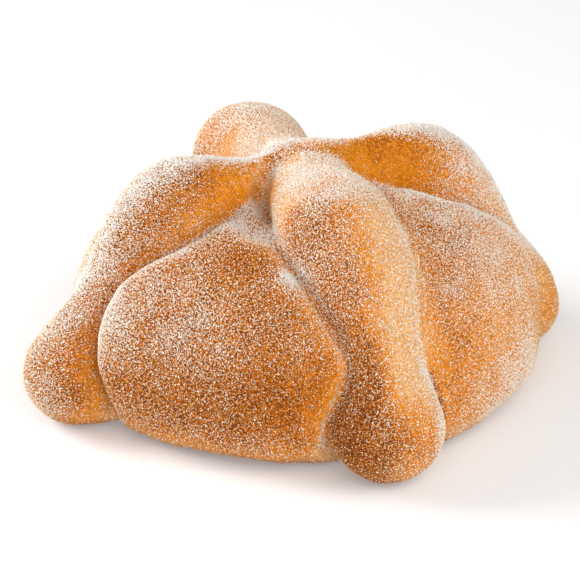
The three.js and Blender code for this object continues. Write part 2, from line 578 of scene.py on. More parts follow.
@dataclass
class SkinGrid:
    """Meshes a distance over a box: one vertex in each cell that the surface crosses."""

    distance: Callable[[Array], Array]
    low: tuple[float, float, float]
    high: tuple[float, float, float]
    step: float
    block: int = 4
    safety: float = 1.6

    def sampled(self) -> Array:
        """Samples the distance at the grid's corners, exactly only near the surface.

        Returns:
            Values of the distance, indexed by x, y and z.
        """
        low = np.array(self.low)
        cells = np.ceil((np.array(self.high) - low) / (self.step * self.block)).astype(int)
        count = cells * self.block + 1
        axes = [(low[i] + self.step * np.arange(count[i])).astype(np.float32) for i in range(3)]
        coarse_axes = [axis[:: self.block] for axis in axes]
        coarse = np.stack(np.meshgrid(*coarse_axes, indexing="ij"), -1)
        rough = self.distance(coarse.reshape(-1, 3)).reshape(coarse.shape[:3])
        reach = self.safety * self.step * self.block * math.sqrt(3.0)
        near = np.abs(rough) < reach
        index = [np.minimum((np.arange(n) + self.block // 2) // self.block, len(c) - 1)
                 for n, c in zip(count, coarse_axes, strict=True)]
        values = rough[np.ix_(*index)]
        exact = near[np.ix_(*index)]
        places = np.argwhere(exact)
        points = np.stack([axes[i][places[:, i]] for i in range(3)], 1)
        values[exact] = self.distance(points)
        return values

    def mesh(self) -> tuple[Array, Array]:
        """Makes the surface's mesh.

        Returns:
            Vertices in millimetres and quads that face outwards.
        """
        values = self.sampled()
        inside = values < 0.0
        shape = values.shape
        corners = [(i, j, k) for i in (0, 1) for j in (0, 1) for k in (0, 1)]

        def shifted(grid: Array, corner: tuple[int, int, int]) -> Array:
            """The grid's values at one corner of every cell."""
            return grid[tuple(slice(c, n - 1 + c) for c, n in zip(corner, shape, strict=True))]

        filled = sum(shifted(inside, corner).astype(np.int8) for corner in corners)
        crossed = (filled > 0) & (filled < len(corners))
        cells = np.argwhere(crossed)
        number = np.full(crossed.shape, -1, np.int64)
        number[crossed] = np.arange(len(cells))
        total = np.zeros((len(cells), 3))
        count = np.zeros(len(cells))
        for axis in range(3):
            for corner in corners:
                if corner[axis]:
                    continue
                other = tuple(1 if i == axis else c for i, c in enumerate(corner))
                first, second = shifted(values, corner)[crossed], shifted(values, other)[crossed]
                cut = (first < 0.0) != (second < 0.0)
                place = np.tile(np.array(corner, float), (len(cells), 1))
                place[:, axis] += np.where(cut, first / np.where(cut, first - second, 1.0), 0.0)
                total[cut] += place[cut]
                count[cut] += 1
        vertices = np.array(self.low) + self.step * (cells + total / count[:, None])
        quads = np.vstack([self._quads(inside, number, axis) for axis in range(3)])
        return vertices, quads

    @staticmethod
    def _quads(inside: Array, number: Array, axis: int) -> Array:
        """Joins the cells round each grid edge of one axis that the surface crosses.

        Args:
            inside: Whether each corner of the grid is inside.
            number: Each cell's vertex.
            axis: The axis that the edges run along.

        Returns:
            Rows of four vertices.
        """
        right, up = (axis + 1) % 3, (axis + 2) % 3
        start = np.take(inside, range(inside.shape[axis] - 1), axis)
        end = np.take(inside, range(1, inside.shape[axis]), axis)
        edges = np.argwhere(start != end)
        outward = start[tuple(edges.T)]

        def vertex(right_step: int, up_step: int) -> Array:
            """The vertices of the cells on one side of the edges.

            Args:
                right_step: How many cells to the right of the edges.
                up_step: How many cells up from the edges.

            Returns:
                One vertex for each edge.
            """
            cell = edges.copy()
            cell[:, right] += right_step
            cell[:, up] += up_step
            return number[tuple(cell.T)]

        quads = np.stack([vertex(-1, -1), vertex(0, -1), vertex(0, 0), vertex(-1, 0)], 1)
        quads[~outward] = quads[~outward][:, ::-1]
        return quads


def make_mesh(name: str, vertices: Array, faces: Array) -> bpy.types.Object:
    """Makes a mesh object from arrays of equal faces.

    Args:
        name: The piece's name.
        vertices: Rows of x, y, z in millimetres.
        faces: Rows of vertex numbers.

    Returns:
        The object, linked to the scene.
    """
    mesh = bpy.data.meshes.new(name)
    sides = faces.shape[1]
    mesh.vertices.add(len(vertices))
    mesh.vertices.foreach_set("co", (vertices * MM).astype(np.float32).ravel())
    mesh.loops.add(faces.size)
    mesh.loops.foreach_set("vertex_index", faces.astype(np.int32).ravel())
    mesh.polygons.add(len(faces))
    mesh.polygons.foreach_set("loop_start", np.arange(0, faces.size, sides, dtype=np.int32))
    mesh.update(calc_edges=True)
    mesh.validate()
    piece = bpy.data.objects.new(name, mesh)
    bpy.context.scene.collection.objects.link(piece)
    return piece


class NodeBoard:
    """A material's node tree, with short ways to add and join nodes."""

    def __init__(self, name: str) -> None:
        """Starts an empty material.

        Args:
            name: The material's name.
        """
        self.material = bpy.data.materials.new(name)
        self.material.use_nodes = True
        self.tree = self.material.node_tree
        self.tree.nodes.clear()

    def node(
        self, kind: str, inputs: dict[str | int, object] | None = None, **settings: object
    ) -> bpy.types.Node:
        """Adds a node.

        Args:
            kind: The node's type.
            inputs: What each input gets: a socket to join or a value.
            settings: The node's own properties.

        Returns:
            The new node.
        """
        made = self.tree.nodes.new(kind)
        for key, value in settings.items():
            setattr(made, key, value)
        for key, value in (inputs or {}).items():
            if isinstance(value, bpy.types.NodeSocket):
                self.tree.links.new(value, made.inputs[key])
            else:
                made.inputs[key].default_value = value
        return made

    def attribute(self, name: str) -> bpy.types.NodeSocket:
        """A number that the mesh keeps at its vertices."""
        return self.node("ShaderNodeAttribute", attribute_name=name).outputs["Fac"]

    def place(self) -> bpy.types.NodeSocket:
        """Where a point lies on its piece, in metres."""
        return self.node("ShaderNodeTexCoord").outputs["Object"]

    def noise(self, size_mm: float, detail: float = 2.0, roughness: float = 0.5) -> bpy.types.NodeSocket:
        """Noise whose blotches are about that many millimetres wide.

        Args:
            size_mm: The width of a blotch.
            detail: How many finer layers it has.
            roughness: How strong the finer layers are.

        Returns:
            The noise, from 0 to 1.
        """
        scale = 1.0 / (size_mm * MM)
        inputs = {"Vector": self.place(), "Scale": scale, "Detail": detail, "Roughness": roughness}
        return self.node("ShaderNodeTexNoise", inputs).outputs["Fac"]

    def cells(self, size_mm: float) -> tuple[bpy.types.NodeSocket, bpy.types.NodeSocket]:
        """Divides the surface into cells about that many millimetres wide.

        Args:
            size_mm: The width of a cell.

        Returns:
            The nearness to a cell's edge, from 0 at its middle, and a chance for each cell from 0 to 1.
        """
        made = self.node("ShaderNodeTexVoronoi", {"Vector": self.place(), "Scale": 1.0 / (size_mm * MM)})
        chance = self.node("ShaderNodeSeparateColor", {"Color": made.outputs["Color"]})
        return made.outputs["Distance"], chance.outputs[0]

    def maths(self, operation: str, *values: object) -> bpy.types.NodeSocket:
        """Works out one number from sockets or numbers."""
        return self.node("ShaderNodeMath", dict(enumerate(values)), operation=operation).outputs[0]

    def span(self, value: object, among: Range, gives: Range = (0.0, 1.0)) -> bpy.types.NodeSocket:
        """Eases a number from one range to another.

        Args:
            value: The number.
            among: Where it starts and where it ends.
            gives: What it gives there.

        Returns:
            The eased number.
        """
        ends = zip(("From Min", "From Max", "To Min", "To Max"), (*among, *gives), strict=True)
        inputs = {"Value": value, **dict(ends)}
        return self.node("ShaderNodeMapRange", inputs, interpolation_type="SMOOTHSTEP").outputs["Result"]

    def blend(self, share: object, first: object, second: object) -> bpy.types.NodeSocket:
        """Mixes two colours by a share.

        Args:
            share: How much of the second colour shows.
            first: A colour or a socket.
            second: A colour or a socket.

        Returns:
            The mixed colour.
        """
        made = self.node("ShaderNodeMix", {0: share, 6: first, 7: second}, data_type="RGBA")
        return made.outputs[2]

    def shaded(self, colour: object, tone: object) -> bpy.types.NodeSocket:
        """Darkens or lightens a colour by a tone.

        Args:
            colour: A colour or a socket.
            tone: What the colour is multiplied by.

        Returns:
            The shaded colour.
        """
        inputs = {0: 1.0, 6: colour, 7: tone}
        made = self.node("ShaderNodeMix", inputs, data_type="RGBA", blend_type="MULTIPLY")
        return made.outputs[2]

    def finish(self, shader: bpy.types.Node) -> bpy.types.Material:
        """Joins the shader to the output and gives the material."""
        self.node("ShaderNodeOutputMaterial", {"Surface": shader.outputs[0]})
        return self.material


@dataclass(frozen=True)
class BakedTone:
    """A colour of the crust, with the browning where it first shows and where it has taken over."""

    colour: Colour
    browning: Range


@dataclass(frozen=True)
class CrustFinish:
    """Baked crust: golden in the valleys, browned where it is exposed, dulled by sugar dust.

    Sizes are in millimetres. Ranges of browning, nearness and frost say where something starts and is whole.
    """

    pale: Colour = (0.86, 0.49, 0.19, 1.0)
    tones: tuple[BakedTone, ...] = (
        BakedTone((0.76, 0.26, 0.010, 1.0), (-0.35, 0.05)),
        BakedTone((0.62, 0.19, 0.010, 1.0), (0.05, 0.40)),
        BakedTone((0.47, 0.150, 0.016, 1.0), (0.35, 0.85)),
        BakedTone((0.32, 0.094, 0.013, 1.0), (0.85, 1.25)),
    )
    underside: Colour = (0.30, 0.090, 0.018, 1.0)
    syrup: Colour = (0.78, 0.38, 0.11, 1.0)
    dust: Colour = (0.92, 0.72, 0.53, 1.0)
    snow: Colour = (0.99, 0.94, 0.89, 1.0)
    bare_shade: Colour = WHITE
    # painted shade in the gaps between the crust's granules
    painted_gap_shade: Colour = (0.42, 0.27, 0.18, 1.0)
    mottle_size: float = 9.0
    mottle_detail: float = 4.0
    mottle_noise: Range = (0.3, 0.7)
    mottle_browning: Range = (-0.12, 0.12)
    speckle_size: float = 1.1
    speckle_detail: float = 3.0
    speckle_noise: Range = (0.35, 0.7)
    speckle_browning: Range = (-0.10, 0.14)
    noise_roughness: float = 0.6
    granule_size: float = 0.40
    granule_nearness: Range = (0.15, 0.62)
    granule_foot: Range = (0.0, 0.7)
    toasted_and_shaded: Range = (0.0, 0.8)
    gap_depths: Range = (0.35, 1.0)
    tone_spreads: Range = (0.5, 1.0)
    closed_frost: Range = (1.1, 2.0)
    white_frost: Range = (0.4, 1.2)
    syrup_size: float = 0.7
    syrup_noise: Range = (0.35, 0.65)
    # painted shade at the edges of the dust's granules
    dust_gap_shades: Range = (0.60, 1.0)
    roughnesses: Range = (0.45, 0.65)
    speckle_relief: float = 0.5
    relief_strength: float = 0.5
    relief_depth: float = 0.2
    gloss: float = 0.08

    def material(self) -> bpy.types.Material:
        """Makes the crust's material.

        Returns:
            The material, which reads the crust's browning with its painted shade and light, its frost and
            underside.
        """
        board = NodeBoard("crust_finish")
        frost = board.attribute("frost")
        mottle = board.noise(self.mottle_size, self.mottle_detail, self.noise_roughness)
        speckle = board.noise(self.speckle_size, self.speckle_detail, self.noise_roughness)
        toasted_and_shaded = board.attribute("browning")
        toasted_and_shaded = board.maths("ADD", toasted_and_shaded, board.span(mottle, self.mottle_noise, self.mottle_browning))
        toasted_and_shaded = board.maths("ADD", toasted_and_shaded, board.span(speckle, self.speckle_noise, self.speckle_browning))
        near, chance = board.cells(self.granule_size)
        granule = board.span(near, self.granule_nearness, (1.0, 0.0))
        colour = self._crumbed(board, self._baked(board, toasted_and_shaded), toasted_and_shaded, granule, chance)
        filled = board.maths("MAXIMUM", granule, board.span(frost, self.closed_frost))
        present = board.maths("MULTIPLY", filled, board.maths("LESS_THAN", chance, frost))
        colour = board.blend(present, colour, self._dusted(board, frost, granule))
        relief = board.maths("ADD", board.maths("MULTIPLY", speckle, self.speckle_relief), granule)
        depth = {"Height": relief, "Strength": self.relief_strength, "Distance": self.relief_depth * MM}
        inputs = {
            "Base Color": colour,
            "Roughness": board.span(present, (0.0, 1.0), self.roughnesses),
            "Normal": board.node("ShaderNodeBump", depth).outputs["Normal"],
            "Specular IOR Level": self.gloss,
        }
        return board.finish(board.node("ShaderNodeBsdfPrincipled", inputs))

    def _baked(self, board: NodeBoard, toasted_and_shaded: bpy.types.NodeSocket) -> bpy.types.NodeSocket:
        """Colours the crust by its browning, which carries painted shade and light, and its underside.

        Args:
            board: The material's nodes.
            toasted_and_shaded: The browning with its painted shade and light.

        Returns:
            The colour.
        """
        colour = self.pale
        for tone in self.tones:
            colour = board.blend(board.span(toasted_and_shaded, tone.browning), colour, tone.colour)
        return board.blend(board.attribute("underside"), colour, self.underside)

    def _crumbed(
        self,
        board: NodeBoard,
        colour: bpy.types.NodeSocket,
        toasted_and_shaded: bpy.types.NodeSocket,
        granule: bpy.types.NodeSocket,
        chance: bpy.types.NodeSocket,
    ) -> bpy.types.NodeSocket:
        """Gives each granule of the crust its own tone and paints shade into the gaps between them.

        Args:
            board: The material's nodes.
            colour: The crust's colour.
            toasted_and_shaded: The browning with its painted shade and light, which deepens the gaps.
            granule: 1 on a granule and 0 between granules.
            chance: A chance for each granule.

        Returns:
            The colour with its granules.
        """
        # Painted shade in the gaps between granules, deeper where the crust is browner.
        gap = board.span(granule, self.granule_foot, (1.0, 0.0))
        gap = board.maths("MULTIPLY", gap, board.span(toasted_and_shaded, self.toasted_and_shaded, self.gap_depths))
        spread = board.span(toasted_and_shaded, self.toasted_and_shaded, self.tone_spreads)
        tone = board.maths("MULTIPLY_ADD", board.maths("SUBTRACT", chance, 0.5), spread, 1.0)
        return board.shaded(board.shaded(colour, tone), board.blend(gap, self.bare_shade, self.painted_gap_shade))

    def _dusted(
        self, board: NodeBoard, frost: bpy.types.NodeSocket, granule: bpy.types.NodeSocket
    ) -> bpy.types.NodeSocket:
        """Colours the dust: sticky where thin, white where thick, with painted shade at its granules' edges.

        Args:
            board: The material's nodes.
            frost: How thick the dust is.
            granule: 1 on a granule and 0 between granules.

        Returns:
            The dust's colour.
        """
        sticky = board.span(board.noise(self.syrup_size, 0.0), self.syrup_noise)
        tint = board.blend(sticky, self.syrup, self.dust)
        tint = board.blend(board.span(frost, self.white_frost), tint, self.snow)
        # Painted shade: the dust darkens towards its granules' edges.
        return board.shaded(tint, board.span(granule, self.granule_foot, self.dust_gap_shades))


@dataclass(frozen=True)
class SugarFinish:
    """Clear white sugar, tinted a little by the butter under it."""

    name: str
    colour: Colour
    roughness: float
    gloss: float

    def material(self) -> bpy.types.Material:
        """Makes the sugar's material.

        Returns:
            The material.
        """
        board = NodeBoard(self.name)
        inputs = {"Base Color": self.colour, "Roughness": self.roughness, "Specular IOR Level": self.gloss}
        return board.finish(board.node("ShaderNodeBsdfPrincipled", inputs))


@dataclass(frozen=True)
class BrowningWithPaintedShade:
    """How far the oven browned the bread, with painted shade and painted light mixed in.

    Golden in the valleys, brown where it is exposed. Left-facing sides are browner and right-facing sides
    paler, partly for an oven's hotter side and partly as painted shade and light for the right-hand lamps;
    the front strip's left-facing walls get painted shade low down. Shares run from below 0, pale, through 0,
    golden, to above 1, dark. Ranges say where a share starts and where it is whole.
    """

    exposed: float = 0.52
    neck: float = 0.30
    neck_out: Range = (12.0, 34.0)
    strip_valley: float = 0.22
    neck_valley: float = 0.10
    strip_valley_depth: Range = (0.35, 0.9)
    bun_valley: float = 0.18
    bun_valley_depth: Range = (0.2, 0.8)
    # Partly an oven's hotter side, partly painted shade: sides facing 170 degrees, to the left, are browned
    # darker.
    hot_and_shaded_side: float = 0.38
    hot_and_shaded_side_deg: float = 170.0
    top: float = 0.12
    top_facing: Range = (0.7, 1.0)
    # Partly painted light: sides turned to the right-hand lamps are painted paler, on the lengthwise strip
    # and the bun.
    strip_lit_lee: float = 0.64
    strip_lit_lee_facing: Range = (-0.65, 0.15)
    strip_lit_lee_height: Range = (12.0, 28.0)
    bun_lit_lee: float = 0.22
    bun_lit_lee_facing: Range = (0.1, 0.8)
    right_arm: float = 0.20
    right_arm_x: Range = (14.0, 30.0)
    # Painted shade: the front strip's left-facing walls are browned darker low down, less higher up, and
    # paler high up from the front knob back.
    wall: float = 0.45
    wall_facing: Range = (0.0, 0.55)
    high_wall: float = 0.40
    high_wall_height: Range = (22.0, 36.0)
    open_wall: float = 0.90
    open_wall_height: Range = (42.0, 48.0)
    open_wall_y: Range = (-30.0, -20.0)
    back_arm: float = 0.40
    back_arm_y: Range = (10.0, 25.0)
    bun_foot: float = 0.85
    strip_foot: float = 0.25
    foot_height: Range = (0.0, 13.0)
    palest: float = -0.4
    darkest: float = 1.2

    def at(self, lie: Lie) -> Array:
        """Works out the browning.

        Args:
            lie: How the points lie on the bread.

        Returns:
            The share at each point.
        """
        neck = 1.0 - smooth_step(lie.out, *self.neck_out)
        valley = smooth_step(lie.valley, *self.strip_valley_depth)
        strip = self.exposed - self.neck * neck - (self.strip_valley - self.neck_valley * neck) * valley
        bun = self.exposed - self.bun_valley * smooth_step(lie.valley, *self.bun_valley_depth)
        baked = bun + (strip - bun) * lie.on_strip
        top = self.top * smooth_step(lie.up, *self.top_facing) * (1.0 - neck)
        # Partly an oven's hotter side, partly painted shade: left-facing sides are browned darker,
        # right-facing paler.
        baked += self.hot_and_shaded_side * lie.toward(self.hot_and_shaded_side_deg) + top
        # Partly painted light: sides turned to the right-hand lamps, away from the hot side, are painted
        # paler.
        lit_lee_side = lie.toward(self.hot_and_shaded_side_deg + 180.0)
        lit_lee = self.strip_lit_lee * lie.on_lengthwise * smooth_step(lit_lee_side, *self.strip_lit_lee_facing)
        baked -= lit_lee * smooth_step(lie.height, *self.strip_lit_lee_height)
        baked -= self.bun_lit_lee * (1.0 - lie.on_strip) * smooth_step(lit_lee_side, *self.bun_lit_lee_facing)
        baked -= self.right_arm * lie.on_crosswise * smooth_step(lie.x, *self.right_arm_x)
        # Painted shade: darker browning on the front strip's left-facing walls low down, paler high up from
        # the front knob back.
        wall = lie.on_lengthwise * smooth_step(lie.left, *self.wall_facing)
        high = smooth_step(lie.height, *self.high_wall_height)
        open_air = smooth_step(lie.height, *self.open_wall_height) * smooth_step(lie.y, *self.open_wall_y)
        baked += wall * (self.wall - self.high_wall * high - self.open_wall * open_air)
        baked += self.back_arm * lie.on_lengthwise * smooth_step(lie.y, *self.back_arm_y)
        foot = self.bun_foot - self.strip_foot * lie.on_strip
        baked -= foot * (1.0 - smooth_step(lie.height, *self.foot_height))
        return np.clip(baked, self.palest, self.darkest)


@dataclass
class Crust:
    """The bread's skin: one closed mesh of bun and strips with browning, painted shade and light, and sugar
    dust.
    """

    form: BreadForm
    finish: CrustFinish = CrustFinish()
    browning: BrowningWithPaintedShade = BrowningWithPaintedShade()
    step: float = 0.95
    margin: float = 2.0
    settle_rounds: int = 2
    probe: float = 0.25
    flattest: float = 0.1
    underside_facing: Range = (0.55, 0.95)
    piece: bpy.types.Object | None = None
    lie: Lie | None = None
    quads: Array = field(default_factory=lambda: np.zeros((0, 4), int))

    def build(self) -> None:
        """Makes the skin's mesh from the bread's form, inside the solid's box."""
        low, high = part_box(NODE)
        low_mm = tuple(c / MM - self.margin for c in low)
        high_mm = tuple(c / MM + self.margin for c in high)
        grid = SkinGrid(self.form.distance, low_mm, high_mm, self.step)
        points, self.quads = grid.mesh()
        for _ in range(self.settle_rounds):
            points = self._settled(points)
        points[:, 2] = np.maximum(points[:, 2], 0.0)
        normals = unit(self._gradient(points))
        self.lie = self.form.lie(points.astype(np.float32), normals)
        self.piece = make_mesh("crust", points, self.quads)
        self.piece.data.shade_smooth()

    def _gradient(self, points: Array) -> Array:
        """The way and the rate at which the form's distance grows.

        Args:
            points: Rows of x, y, z in millimetres.

        Returns:
            Rows of x, y, z, about 1 long near the surface.
        """
        slope = np.zeros((len(points), 3), np.float32)
        for axis in range(3):
            shift = np.zeros(3)
            shift[axis] = self.probe
            ahead = self.form.distance((points + shift).astype(np.float32))
            behind = self.form.distance((points - shift).astype(np.float32))
            slope[:, axis] = (ahead - behind) / (2.0 * self.probe)
        return slope

    def _settled(self, points: Array) -> Array:
        """Moves points onto the form's surface, by no more than half a step.

        Args:
            points: Rows of x, y, z near the surface, in millimetres.

        Returns:
            The moved points.
        """
        slope = self._gradient(points)
        square = np.maximum((slope**2).sum(1), self.flattest)
        off = self.form.distance(points.astype(np.float32)) / square
        move = slope * off[:, None]
        length = np.linalg.norm(move, axis=1)
        most = self.step / 2.0
        return points - move * np.minimum(1.0, most / np.maximum(length, TINY))[:, None]

    def dress(self, dusting: "SugarDusting") -> None:
        """Writes the browning with its painted shade and light, and the frost, and gives the skin its finish.

        Args:
            dusting: The sugar, whose dust dulls the crust.
        """
        # The browning also holds painted shade and painted light from the side and wall terms.
        self._keep("browning", self.browning.at(self.lie))
        self._keep("underside", smooth_step(-self.lie.up, *self.underside_facing))
        self._keep("frost", dusting.frost(self.lie))
        self.piece.data.materials.append(self.finish.material())
        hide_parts(NODE)
        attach(self.piece, BODY)

    def _keep(self, name: str, values: Array) -> None:
        """Stores a number for each vertex."""
        made = self.piece.data.attributes.new(name, "FLOAT", "POINT")
        made.data.foreach_set("value", values.astype(np.float32))


class GrainHabit(Enum):
    """The shapes that sugar crystals break into, as the corners and faces of a unit grain."""

    BLOCK = (
        ((-1, -1, -1), (1, -1, -1), (1, 1, -1), (-1, 1, -1), (-1, -1, 1), (1, -1, 1), (1, 1, 1), (-1, 1, 1)),
        ((0, 3, 2, 1), (4, 5, 6, 7), (0, 1, 5, 4), (1, 2, 6, 5), (2, 3, 7, 6), (3, 0, 4, 7)),
    )
    SPLINTER = (
        ((1, 0, 0), (-0.5, 0.87, 0), (-0.5, -0.87, 0), (0, 0, 1), (0, 0, -1)),
        ((0, 1, 3), (1, 2, 3), (2, 0, 3), (1, 0, 4), (2, 1, 4), (0, 2, 4)),
    )
    SHARD = (
        ((1, 0, -0.5), (-0.6, 0.9, -0.5), (-0.6, -0.9, -0.5), (0, 0, 1)),
        ((0, 2, 1), (0, 1, 3), (1, 2, 3), (2, 0, 3)),
    )


@dataclass(frozen=True)
class GrainKind:
    """One kind of sugar grain: its habit, its half sizes in millimetres and how many there are.

    A kind gathers where sugar lies thick, the more the higher its gathering is, and is crowded out of there
    by its crowding.
    """

    name: str
    habit: GrainHabit
    half_size: tuple[float, float, float]
    grains: int
    gathering: float
    crowding: float
    finish: SugarFinish
    unevenness: float = 0.22
    size_spread: float = 0.22
    tilt_deg: float = 28.0
    sunk: float = 0.35
    level: float = 0.9

    def mesh(
        self, places: Array, normals: Array, lift: Array, draw: np.random.Generator
    ) -> tuple[Array, Array]:
        """Makes all grains of this kind as one array of corners and faces.

        Args:
            places: Where the grains lie, in millimetres.
            normals: The way out of the crust at each place.
            lift: How far each grain lies above the crust, on grains below it.
            draw: Gives the random draws.

        Returns:
            Vertices in millimetres and faces.
        """
        count = len(places)
        corners, faces = (np.array(part) for part in self.habit.value)
        chipped = draw.uniform(-self.unevenness, self.unevenness, (count, len(corners), 3))
        shape = corners[None] * (1.0 + chipped)
        scale = np.exp(draw.normal(0.0, self.size_spread, (count, 1, 3)))
        shape = shape * scale * np.array(self.half_size)
        spin = draw.uniform(0.0, 2.0 * math.pi, count)
        lean = np.radians(self.tilt_deg) * np.abs(draw.normal(0.0, 1.0, count))
        lean_way = draw.uniform(0.0, 2.0 * math.pi, count)
        steep = np.abs(normals[:, 2:]) < self.level
        side = unit(np.cross(normals, np.where(steep, [[0.0, 0.0, 1.0]], [[1.0, 0.0, 0.0]])))
        other = np.cross(normals, side)
        tip = np.cos(lean_way)[:, None] * side + np.sin(lean_way)[:, None] * other
        up = np.cos(lean)[:, None] * normals + np.sin(lean)[:, None] * tip
        first = np.cos(spin)[:, None] * side + np.sin(spin)[:, None] * other
        first = unit(first - (first * up).sum(1)[:, None] * up)
        second = np.cross(up, first)
        turned = (
            shape[..., :1] * first[:, None] + shape[..., 1:2] * second[:, None] + shape[..., 2:] * up[:, None]
        )
        rest = lift + (1.0 - 2.0 * self.sunk) * self.half_size[2]
        vertices = turned + (places + normals * rest[:, None])[:, None]
        numbers = faces[None] + (np.arange(count) * len(corners))[:, None, None]
        return vertices.reshape(-1, 3), numbers.reshape(-1, faces.shape[1])


@dataclass(frozen=True)
class Heap:
    """A place where loose sugar has slid together, or has slid off, in millimetres."""

    x: float
    y: float
    z: float
    radius: float
    amount: float

    def share(self, points: Array) -> Array:
        """How much of the heap lies at each point."""
        away = np.linalg.norm(points - np.array([self.x, self.y, self.z]), axis=1)
        return self.amount * np.exp(-((away / self.radius) ** 2))


def winding_way(places: Array, step: float) -> Array:
    """Orders places along a way that winds through space, so that neighbours on the way lie close together.

    Args:
        places: Rows of x, y, z.
        step: The width of the smallest cube that the way tells apart.

    Returns:
        The places' numbers, in the order of the way.
    """
    cubes = ((places - places.min(axis=0)) / step).astype(np.int64)
    code = np.zeros(len(places), np.int64)
    for bit in range(int(cubes.max()).bit_length()):
        for axis in range(3):
            code |= ((cubes[:, axis] >> bit) & 1) << (3 * bit + axis)
    return np.argsort(code, kind="stable")


@dataclass(frozen=True)
class PanelSugar:
    """How sugary the bun looks: most on the rims under the arms, and at the right where it turns under.

    Shares run from 0, bare, to 1, hidden. Ranges say where a share starts and where it is whole.
    """

    least: float = 0.22
    strewn: float = 0.18
    strewn_facing: Range = (-0.2, 0.5)
    right: float = 0.17
    right_x: Range = (8.0, 30.0)
    far_right: float = 0.36
    far_right_x: Range = (38.0, 52.0)
    left_x: Range = (5.0, 20.0)
    left_height: Range = (20.0, 32.0)
    left_belly: float = 0.16
    left_belly_height: Range = (10.0, 17.0)
    left_edge: float = 0.06
    left_side: float = 0.28
    left_side_facing: Range = (0.4, 0.9)
    rim: float = 0.34
    low_height: Range = (10.0, 26.0)
    right_side: float = 0.38
    right_side_facing: Range = (0.25, 0.8)
    right_side_end: Range = (40.0, 49.0)

    def at(self, lie: Lie) -> Array:
        """Works out the sugar.

        Args:
            lie: How the points lie on the bread.

        Returns:
            The share at each point.
        """
        low = 1.0 - smooth_step(lie.height, *self.low_height)
        share = self.least + self.strewn * smooth_step(lie.strewn, *self.strewn_facing)
        share = share + self.right * smooth_step(lie.x, *self.right_x)
        left = smooth_step(-lie.x, *self.left_x) * (1.0 - smooth_step(lie.height, *self.left_height))
        belly = self.left_belly * smooth_step(lie.height, *self.left_belly_height) - self.left_edge
        share -= self.far_right * smooth_step(lie.x, *self.far_right_x) + left * belly
        share += self.left_side * smooth_step(lie.left, *self.left_side_facing) * (1.0 - low)
        share += self.rim * lie.rim**2
        under = self.right_side * smooth_step(-lie.left, *self.right_side_facing) * low
        return share + under * (1.0 - smooth_step(lie.x, *self.right_side_end))


@dataclass(frozen=True)
class CrosswiseSugar:
    """How sugary the left and right arms look: bare in front near the crossing, white on top and behind.

    Shares run from 0, bare, to 1, hidden. Ranges say where a share starts and where it is whole. The sugar's
    edge lies at a turn about the arm, 0 in front and 90 on top.
    """

    edge_turn: Range = (38.0, 98.0)
    edge_facing: Range = (0.0, 0.55)
    edge_height: Range = (14.0, 36.0)
    left_turn: float = 10.0
    left_turn_x: Range = (18.0, 50.0)
    neck_turn: float = 24.0
    neck_out: Range = (14.0, 34.0)
    least: float = 0.02
    knob: float = 0.16
    knob_out: Range = (18.0, 32.0)
    outer: float = 0.13
    outer_out: Range = (26.0, 42.0)
    outer_height: Range = (12.0, 26.0)
    right: float = 0.27
    right_x: Range = (22.0, 38.0)
    right_height: Range = (20.0, 32.0)
    left_side: float = 0.08
    left_foot: float = 0.20
    left_foot_x: Range = (40.0, 50.0)
    left_facing: Range = (0.15, 0.7)
    high_knob: float = 0.10
    high_knob_out: Range = (20.0, 30.0)
    high_knob_height: Range = (38.0, 48.0)
    most: float = 1.02
    left_loss: float = 0.22
    left_loss_x: Range = (30.0, 42.0)

    def at(self, lie: Lie) -> Array:
        """Works out the sugar.

        Args:
            lie: How the points lie on the bread.

        Returns:
            The share at each point.
        """
        out = np.abs(lie.x)
        turn = np.degrees(np.arctan2(lie.up, -lie.back))
        turn = turn + self.left_turn * smooth_step(-lie.x, *self.left_turn_x)
        turn -= self.neck_turn * (1.0 - smooth_step(out, *self.neck_out))
        outer = smooth_step(out, *self.outer_out) * smooth_step(lie.height, *self.outer_height)
        bare = self.least + self.knob * smooth_step(out, *self.knob_out) + self.outer * outer
        right = self.right * smooth_step(lie.x, *self.right_x)
        bare = bare + right * smooth_step(lie.height, *self.right_height)
        side = self.left_side + self.left_foot * smooth_step(-lie.x, *self.left_foot_x)
        knob = self.high_knob * smooth_step(out, *self.high_knob_out)
        high_knob = knob * smooth_step(lie.height, *self.high_knob_height)
        bare += side * smooth_step(lie.left, *self.left_facing) + high_knob
        full = self.most - self.left_loss * smooth_step(-lie.x, *self.left_loss_x)
        edge = (full - bare) * smooth_step(turn, *self.edge_turn) * smooth_step(lie.up, *self.edge_facing)
        return bare + edge * smooth_step(lie.height, *self.edge_height)


@dataclass(frozen=True)
class LengthwiseSugar:
    """How sugary the front and back arms look: most on the knob's top and behind the crossing.

    Shares run from 0, bare, to 1, hidden. Ranges say where a share starts and where it is whole.
    """

    front: float = 0.32
    upper: float = 0.12
    upper_height: Range = (12.0, 30.0)
    strewn: float = 0.28
    strewn_facing: Range = (0.50, 0.90)
    low_height: Range = (28.0, 44.0)
    right_side: float = 0.35
    right_side_facing: Range = (0.40, 0.90)
    left_side: float = 0.23
    left_side_facing: Range = (0.1, 0.7)
    behind: float = 0.40
    behind_top: float = 0.22
    behind_top_facing: Range = (0.5, 1.0)
    behind_y: Range = (2.0, 12.0)

    def at(self, lie: Lie) -> Array:
        """Works out the sugar.

        Args:
            lie: How the points lie on the bread.

        Returns:
            The share at each point.
        """
        low = 1.0 - smooth_step(lie.height, *self.low_height)
        front = self.front + self.upper * smooth_step(lie.height, *self.upper_height)
        front = front + self.strewn * smooth_step(lie.strewn, *self.strewn_facing)
        right = self.right_side * smooth_step(-lie.left, *self.right_side_facing)
        front += low * (right - self.left_side * smooth_step(lie.left, *self.left_side_facing))
        behind = self.behind + self.behind_top * smooth_step(lie.up, *self.behind_top_facing)
        return front + (behind - front) * smooth_step(lie.y, *self.behind_y)


